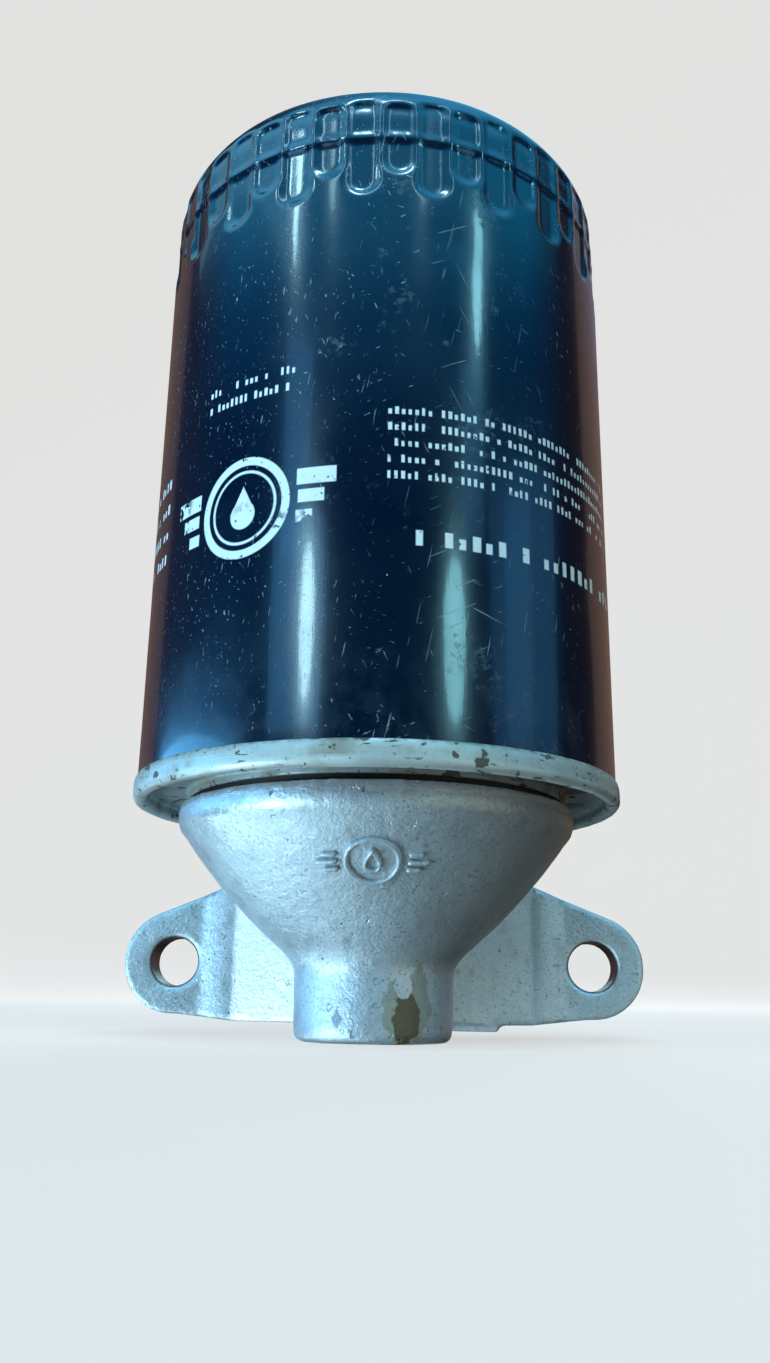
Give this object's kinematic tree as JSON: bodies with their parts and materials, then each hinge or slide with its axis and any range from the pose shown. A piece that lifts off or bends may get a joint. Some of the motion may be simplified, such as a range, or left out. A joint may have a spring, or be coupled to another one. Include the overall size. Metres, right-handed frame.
{
  "type": "spin-on oil filter with mounting head",
  "caption": "Screw-on oil filter cartridge with pleated element and relief valve, on a cast mounting head with a flange, an inlet port and a threaded outlet boss.",
  "frame": {"origin": "on the filter's axis, at the lower end of the head's boss, in the mouth of the outlet port", "axes": "+Z along the filter's axis from the boss to the can's closed end, +Y towards the head's mounting face, +X along the line of the two bolt holes"},
  "size_m": [0.1162, 0.0965, 0.1807],
  "materials": {
    "cast_aluminium": "as-cast, shot-blasted, with a machined rim and faces",
    "stud_steel": "zinc-plated steel",
    "gasket_rubber": "matt nitrile rubber",
    "bare_tinplate": "bare tinned steel with rust spots",
    "plate_steel": "oiled steel plate",
    "can_paint": "glossy stoved paint, dark petrol blue, scratched",
    "valve_rubber": "matt rubber",
    "cap_steel": "tinned sheet steel",
    "bead_resin": "cured plastisol",
    "filter_paper": "resin-treated filter paper",
    "tube_steel": "pressed sheet steel",
    "spring_steel": "oil-tempered spring wire"
  },
  "bodies": {
    "head": {"filter_head": "cast_aluminium", "threaded_stud": "stud_steel"},
    "gasket": {"sealing_gasket": "gasket_rubber"},
    "cartridge": {"seaming_lid": "bare_tinplate", "tapping_plate": "plate_steel", "filter_can": "can_paint", "lower_end_cap": "cap_steel", "lower_bead": "bead_resin", "pleated_element": "filter_paper", "pleat_clip": "cap_steel", "centre_tube": "tube_steel", "upper_bead": "bead_resin", "upper_end_cap": "cap_steel", "relief_seat": "tube_steel", "relief_spring": "spring_steel", "relief_cage": "tube_steel", "support_spring": "spring_steel"},
    "drainback_valve": {"drainback_valve": "valve_rubber"},
    "relief_poppet": {"relief_disc": "tube_steel", "relief_seal": "valve_rubber"}
  },
  "joints": [
    {"name": "thread_lift", "type": "slide", "parent": "head", "child": "gasket", "axis": [0, 0, 1], "range_m": [0, 0.0112]},
    {"name": "cartridge_spin", "type": "hinge", "parent": "gasket", "child": "cartridge", "pos_m": [0, 0, 0], "axis": [0, 0, 1], "range_deg": [0, 2520]},
    {"name": "drainback_lift", "type": "slide", "parent": "cartridge", "child": "drainback_valve", "axis": [0, 0, 1], "range_m": [0, 0.001], "stiffness_N_per_m": 200, "springref_m": -0.002, "deforming": ["drainback_valve"]},
    {"name": "relief_open", "type": "slide", "parent": "cartridge", "child": "relief_poppet", "axis": [0, 0, -1], "range_m": [0, 0.003], "stiffness_N_per_m": 1500, "springref_m": -0.006, "deforming": ["relief_spring"]}
  ],
  "couplings": [
    {"joint": "thread_lift", "follows": "cartridge_spin", "m_per_rad": 0.00025266}
  ]
}
